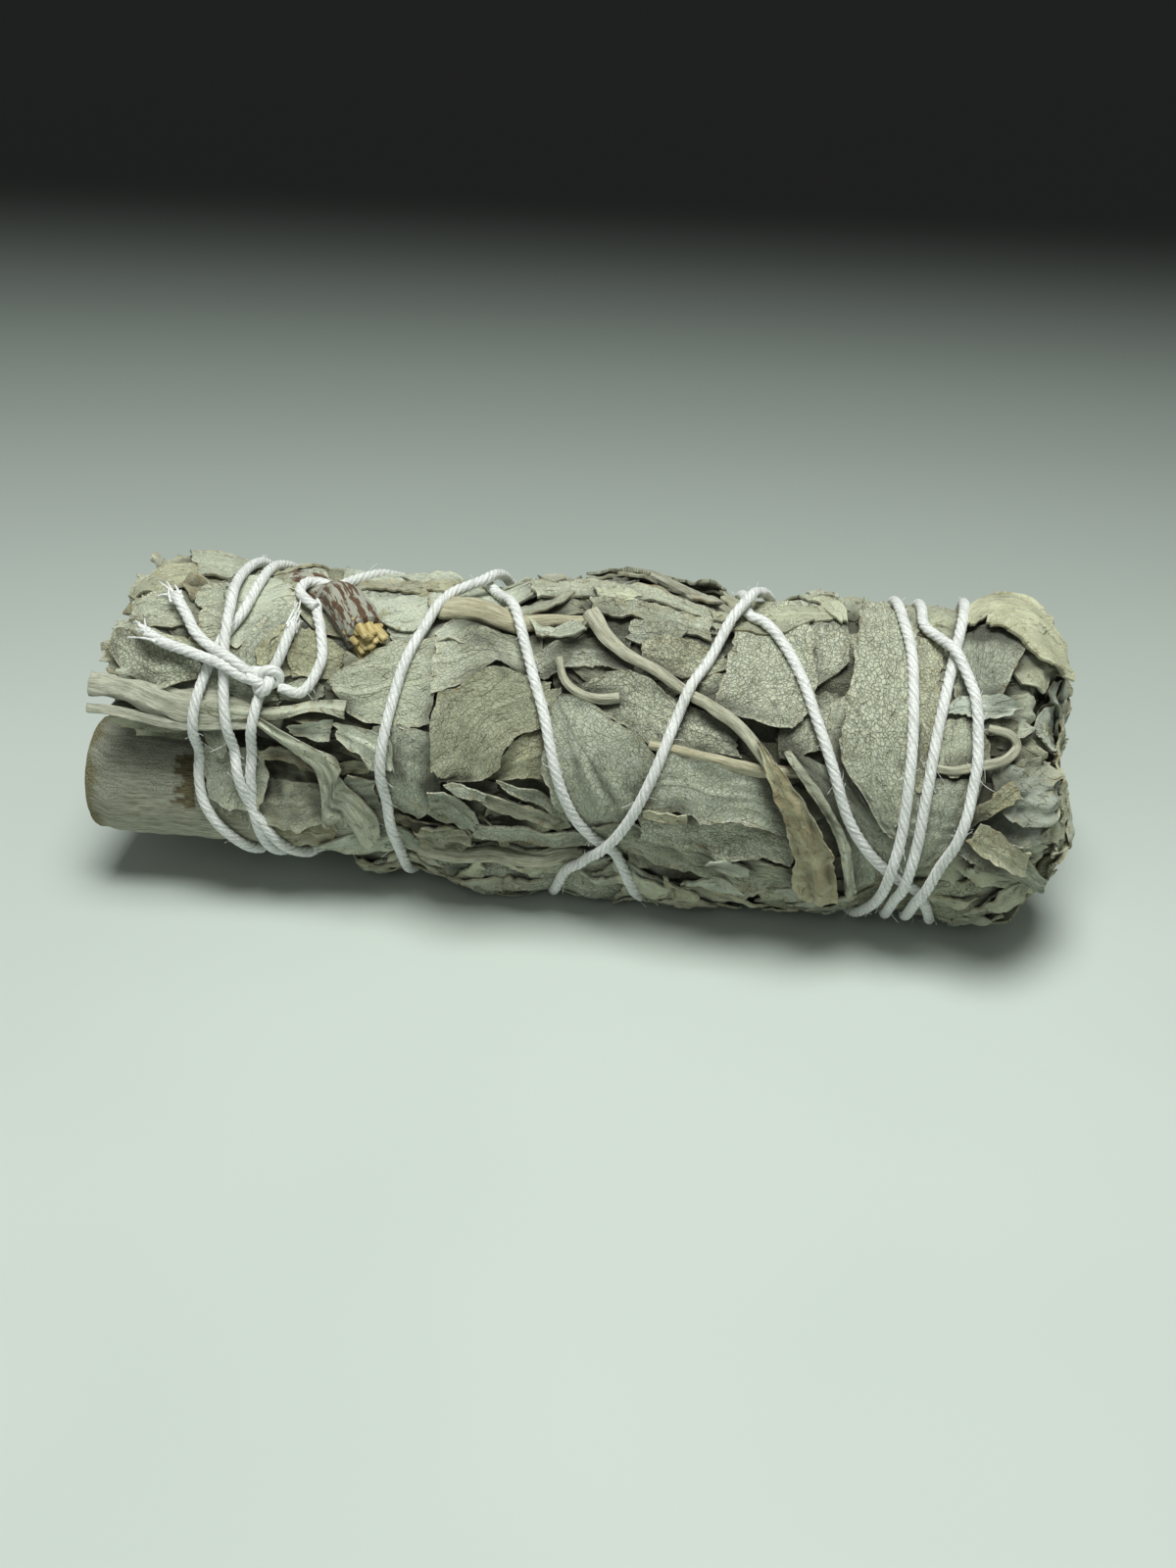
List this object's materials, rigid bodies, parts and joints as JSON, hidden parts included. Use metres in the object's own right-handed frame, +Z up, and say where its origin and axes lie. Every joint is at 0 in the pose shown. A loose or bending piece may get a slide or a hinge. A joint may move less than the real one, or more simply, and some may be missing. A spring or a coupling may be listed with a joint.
{
  "type": "sage bunch",
  "caption": "Short bunch of dried pale sage leaves and woody stems, pressed into a roll and bound with crossing turns of white cotton string.",
  "frame": {"origin": "middle of the box's underside: on the surface that the bunch lies on", "axes": "+X along the bunch, from the cut stems to the leaf tips; +Z up; -Y to the front, where the thick stem and the string's knot are"},
  "size_m": [0.098, 0.0362, 0.0334],
  "materials": {
    "sage_leaf": "dried felted leaf, matt grey-green",
    "sage_leaf_pale": "dried felted leaf, matt pale grey-green",
    "stem_bark": "dry olive-brown bark, matt",
    "pale_stem": "dry pale split wood and leaf stalks, matt",
    "cotton": "white twisted cotton string, matt"
  },
  "bodies": {
    "root": {"sprig_1": "sage_leaf", "sprig_2": "sage_leaf", "sprig_3": "sage_leaf", "sprig_4": "sage_leaf", "sprig_5": "sage_leaf", "sprig_middle": "sage_leaf", "leaf_big_netted": "sage_leaf_pale", "leaf_torn_upper": "sage_leaf_pale", "leaf_pale_left": "sage_leaf_pale", "leaf_green_midrib": "sage_leaf_pale", "leaf_grey_lower": "sage_leaf_pale", "leaf_centre_band": "sage_leaf_pale", "leaf_curled_brown": "sage_leaf_pale", "leaf_mid_lower": "sage_leaf_pale", "leaf_left_torn": "sage_leaf_pale", "leaf_tip_front": "sage_leaf_pale", "leaf_tip_top": "sage_leaf_pale", "leaf_back_left": "sage_leaf_pale", "leaf_back_middle": "sage_leaf_pale", "leaf_back_right": "sage_leaf_pale", "leaf_back_tip": "sage_leaf_pale", "leaf_top_middle": "sage_leaf_pale", "thick_stem": "stem_bark", "broken_twig": "stem_bark", "dark_top_stem": "stem_bark", "split_stem_upper": "pale_stem", "split_stem_lower": "pale_stem", "side_twig": "pale_stem", "long_petiole": "pale_stem", "petiole_hook": "pale_stem", "small_petiole": "pale_stem", "low_stem": "pale_stem", "string": "cotton"}
  },
  "joints": []
}
